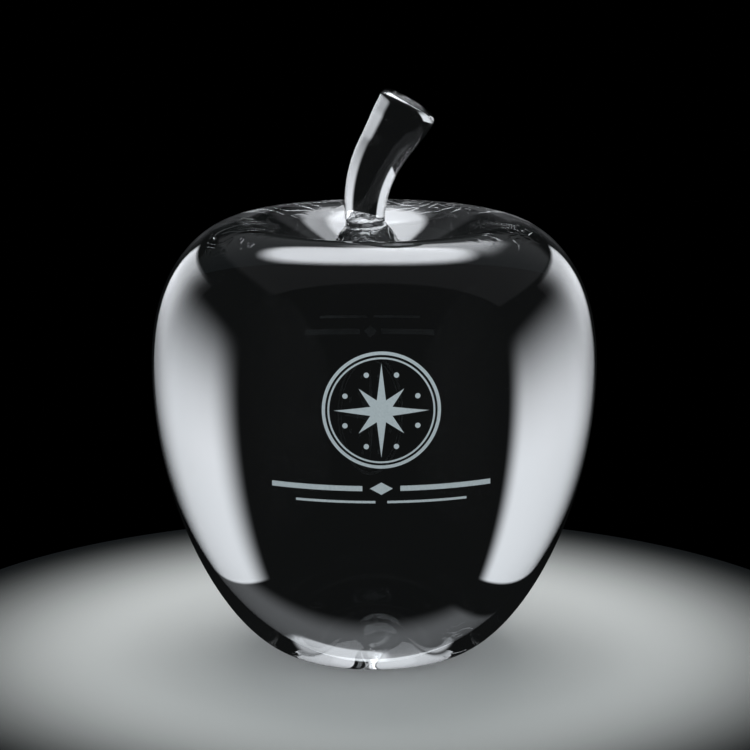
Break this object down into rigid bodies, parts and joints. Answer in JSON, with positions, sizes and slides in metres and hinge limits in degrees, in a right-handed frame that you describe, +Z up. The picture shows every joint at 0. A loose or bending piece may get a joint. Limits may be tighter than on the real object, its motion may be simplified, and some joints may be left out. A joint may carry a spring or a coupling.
{
  "type": "glass apple ornament",
  "caption": "Solid clear glass apple with a dimpled top, a flat polished base and a bent stem; a free-standing paperweight or desk ornament.",
  "frame": {"origin": "centre of the flat base, on the surface that the apple stands on", "axes": "+Z up through the dimple; +X towards the side that the stem leans to; -Y is the front, which the picture shows"},
  "size_m": [0.08, 0.08, 0.1023],
  "materials": {
    "body_glass": "polished clear",
    "stem_glass": "fire-polished clear",
    "frosted_mark": "frosted"
  },
  "bodies": {
    "root": {"apple_body": "body_glass", "stem": "stem_glass"}
  },
  "joints": []
}
